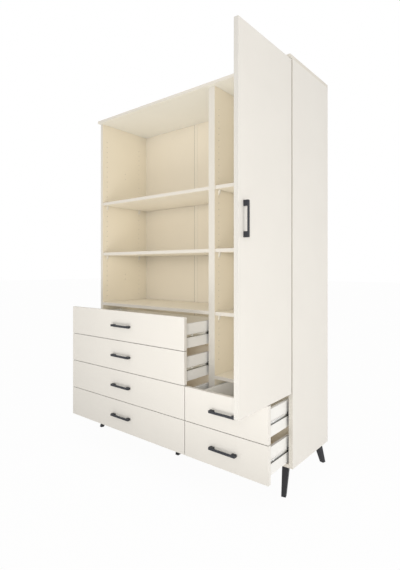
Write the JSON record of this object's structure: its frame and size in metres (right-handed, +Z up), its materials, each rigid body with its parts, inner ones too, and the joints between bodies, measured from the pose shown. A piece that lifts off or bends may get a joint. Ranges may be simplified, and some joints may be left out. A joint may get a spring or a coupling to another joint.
{
  "type": "cabinet with drawers",
  "caption": "Tall cream cabinet on splayed legs with an open shelf bay, a narrow shelf bay behind a side-hinged door, and full-overlay drawers on runners below both bays.",
  "frame": {"origin": "on the floor, in the middle of the underside of the middle front foot, which is at half the cabinet's width", "axes": "+X to the right as seen by someone who stands in front, +Y to the back, +Z up"},
  "size_m": [1.332, 0.8771, 1.948],
  "materials": {
    "carcass_board": "cream melamine on chipboard, satin",
    "front_board": "cream melamine on chipboard, satin",
    "drawer_board": "white foil with a faint weave",
    "thin_board": "cream lacquered hardboard",
    "pale_plastic": "cream moulded plastic",
    "dark_metal": "anthracite powder coat",
    "runner_steel": "bright zinc",
    "black_plastic": "black moulded plastic",
    "hinge_steel": "nickel plated"
  },
  "bodies": {
    "carcass": {"left_side": "carcass_board", "left_partition": "carcass_board", "right_partition": "carcass_board", "right_side": "carcass_board", "top": "carcass_board", "bottom": "carcass_board", "left_floor": "carcass_board", "right_floor": "carcass_board", "left_shelf_1": "carcass_board", "left_shelf_2": "carcass_board", "right_shelf_1": "carcass_board", "right_shelf_2": "carcass_board", "right_shelf_3": "carcass_board", "back_boards": "thin_board", "back_strip": "pale_plastic", "shelf_supports": "pale_plastic", "legs": "dark_metal", "runner_tracks": "runner_steel", "runner_caps": "black_plastic", "hinge_arms": "hinge_steel"},
    "door": {"door": "front_board", "door_handle": "dark_metal", "hinge_cups": "hinge_steel"},
    "left_drawer_1": {"left_drawer_1_front": "front_board", "left_drawer_1_sides": "drawer_board", "left_drawer_1_back": "drawer_board", "left_drawer_1_bottom": "thin_board", "left_drawer_1_handle": "dark_metal", "left_drawer_1_runners": "runner_steel"},
    "left_drawer_2": {"left_drawer_2_front": "front_board", "left_drawer_2_sides": "drawer_board", "left_drawer_2_back": "drawer_board", "left_drawer_2_bottom": "thin_board", "left_drawer_2_handle": "dark_metal", "left_drawer_2_runners": "runner_steel"},
    "left_drawer_3": {"left_drawer_3_front": "front_board", "left_drawer_3_sides": "drawer_board", "left_drawer_3_back": "drawer_board", "left_drawer_3_bottom": "thin_board", "left_drawer_3_handle": "dark_metal", "left_drawer_3_runners": "runner_steel"},
    "left_drawer_4": {"left_drawer_4_front": "front_board", "left_drawer_4_sides": "drawer_board", "left_drawer_4_back": "drawer_board", "left_drawer_4_bottom": "thin_board", "left_drawer_4_handle": "dark_metal", "left_drawer_4_runners": "runner_steel"},
    "right_drawer_1": {"right_drawer_1_front": "front_board", "right_drawer_1_sides": "drawer_board", "right_drawer_1_back": "drawer_board", "right_drawer_1_bottom": "thin_board", "right_drawer_1_handle": "dark_metal", "right_drawer_1_runners": "runner_steel"},
    "right_drawer_2": {"right_drawer_2_front": "front_board", "right_drawer_2_sides": "drawer_board", "right_drawer_2_back": "drawer_board", "right_drawer_2_bottom": "thin_board", "right_drawer_2_handle": "dark_metal", "right_drawer_2_runners": "runner_steel"}
  },
  "joints": [
    {"name": "door_hinge", "type": "hinge", "parent": "carcass", "child": "door", "pos_m": [0.647, -0.008, 1.2], "axis": [0, 0, 1], "range_deg": [-90, 10]},
    {"name": "left_drawer_1_slide", "type": "slide", "parent": "carcass", "child": "left_drawer_1", "axis": [0, -1, 0], "range_m": [-0.195, 0.065]},
    {"name": "left_drawer_2_slide", "type": "slide", "parent": "carcass", "child": "left_drawer_2", "axis": [0, -1, 0], "range_m": [-0.195, 0.065]},
    {"name": "left_drawer_3_slide", "type": "slide", "parent": "carcass", "child": "left_drawer_3", "axis": [0, -1, 0], "range_m": [-0.195, 0.065]},
    {"name": "left_drawer_4_slide", "type": "slide", "parent": "carcass", "child": "left_drawer_4", "axis": [0, -1, 0], "range_m": [-0.195, 0.065]},
    {"name": "right_drawer_1_slide", "type": "slide", "parent": "carcass", "child": "right_drawer_1", "axis": [0, -1, 0], "range_m": [-0.195, 0.065]},
    {"name": "right_drawer_2_slide", "type": "slide", "parent": "carcass", "child": "right_drawer_2", "axis": [0, -1, 0], "range_m": [-0.195, 0.065]}
  ]
}
